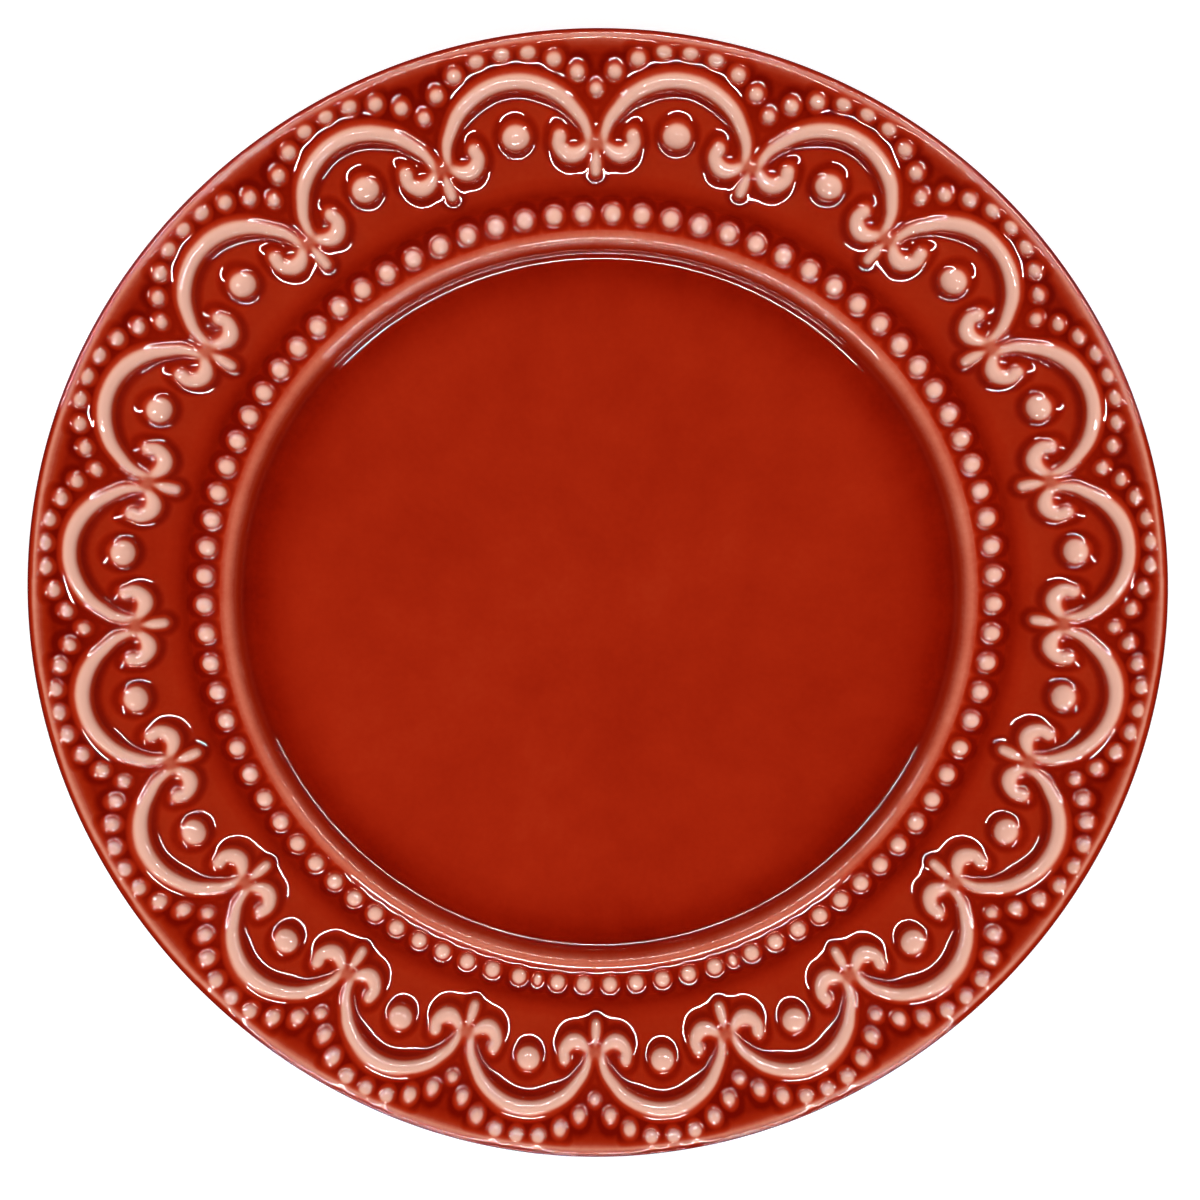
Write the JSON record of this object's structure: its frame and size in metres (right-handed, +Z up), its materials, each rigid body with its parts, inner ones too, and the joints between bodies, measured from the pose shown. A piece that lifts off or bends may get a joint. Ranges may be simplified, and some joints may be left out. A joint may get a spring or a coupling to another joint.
{
  "type": "dessert plate",
  "caption": "Round glazed dessert plate with a sunken well, a lip above it, a wide sloping rim with moulded scroll and bead ornament, a rolled edge and a foot ring.",
  "frame": {"origin": "centre of the foot ring's contact face, on the table plane", "axes": "+Z up along the plate's axis of revolution, out of the well; +X and +Y lie in the table plane, with +Y towards the side that is at the top of the reference view"},
  "size_m": [0.21, 0.21, 0.0267],
  "materials": {
    "fired_clay": "bare fired earthenware, matte, seen only on the foot ring's contact face",
    "red_glaze": "glossy translucent red glaze, dark where it pools and breaking to salmon pink where it thins over raised ornament and edges",
    "red_glaze_underside": "glossy red glaze, even, inside the foot ring"
  },
  "bodies": {
    "root": {"clay_body": "fired_clay", "face_glaze": "red_glaze", "foot_recess_glaze": "red_glaze_underside"}
  },
  "joints": []
}
